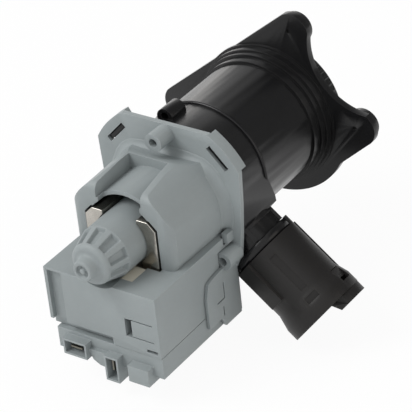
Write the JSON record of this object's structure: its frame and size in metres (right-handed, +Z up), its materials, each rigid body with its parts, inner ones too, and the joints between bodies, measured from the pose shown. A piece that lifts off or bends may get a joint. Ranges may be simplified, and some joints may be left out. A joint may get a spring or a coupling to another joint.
{
  "type": "washer drain pump",
  "caption": "Washing machine drain pump: motor with coil box behind, volute and side outlet with hose coupling, filter tube with a turning filter and a lobed front flange.",
  "frame": {"origin": "centre of the flange's front face on the pump axis", "axes": "+Y along the pump axis out of the filter mouth, +Z up, +X to the side of the hose coupling"},
  "size_m": [0.1484, 0.1712, 0.1273],
  "materials": {
    "black_moulding": "satin black with a soft broad highlight",
    "grey_moulding": "cool mid grey, matt with soft edges",
    "coupling_moulding": "brown black, satin",
    "cream_moulding": "cream, satin",
    "pale_moulding": "pale natural plastic, satin",
    "sheet_steel": "stacked sheets, thin bright edges",
    "shaft_steel": "ground bright",
    "sintered_bearing": "sintered, dull",
    "contact_brass": "tinned brass, satin",
    "enamelled_wire": "enamelled copper, glossy",
    "magnet": "dark ferrite, dull",
    "seal_rubber": "black rubber, dull"
  },
  "bodies": {
    "housing": {"pump_housing": "black_moulding", "motor_housing": "grey_moulding", "coil_cover": "grey_moulding", "terminal_base": "grey_moulding", "terminal_flat": "contact_brass", "terminal_upright": "contact_brass", "stator_core": "sheet_steel", "bobbin": "cream_moulding", "coil_left": "enamelled_wire", "coil_right": "enamelled_wire", "front_bearing": "sintered_bearing", "front_bearing_rubber": "seal_rubber", "rear_bearing": "sintered_bearing", "rear_bearing_rubber": "seal_rubber", "bearing_carrier": "pale_moulding", "carrier_seal": "seal_rubber", "chamber_seal": "seal_rubber", "coupling_shell": "coupling_moulding", "coupling_insert": "coupling_moulding", "coupling_seal": "seal_rubber"},
    "rotor": {"rotor_magnet": "magnet", "rotor_shaft": "shaft_steel", "drive_dog": "pale_moulding", "thrust_washers": "pale_moulding"},
    "impeller": {"impeller": "pale_moulding"},
    "filter_slide": {"filter_seal": "seal_rubber"},
    "filter": {"filter_knob": "black_moulding", "filter_strainer": "pale_moulding"}
  },
  "joints": [
    {"name": "rotor_spin", "type": "hinge", "parent": "housing", "child": "rotor", "pos_m": [0, -0.11, 0], "axis": [0, 1, 0], "continuous": true},
    {"name": "impeller_play", "type": "hinge", "parent": "rotor", "child": "impeller", "pos_m": [0, -0.0755, 0], "axis": [0, 1, 0], "range_deg": [0, 270]},
    {"name": "filter_travel", "type": "slide", "parent": "housing", "child": "filter_slide", "axis": [0, 1, 0], "range_m": [0, 0.006]},
    {"name": "filter_turn", "type": "hinge", "parent": "filter_slide", "child": "filter", "pos_m": [0, 0, 0], "axis": [0, 1, 0], "range_deg": [0, 90]}
  ],
  "couplings": [
    {"joint": "filter_travel", "follows": "filter_turn", "m_per_rad": 0.003819}
  ]
}
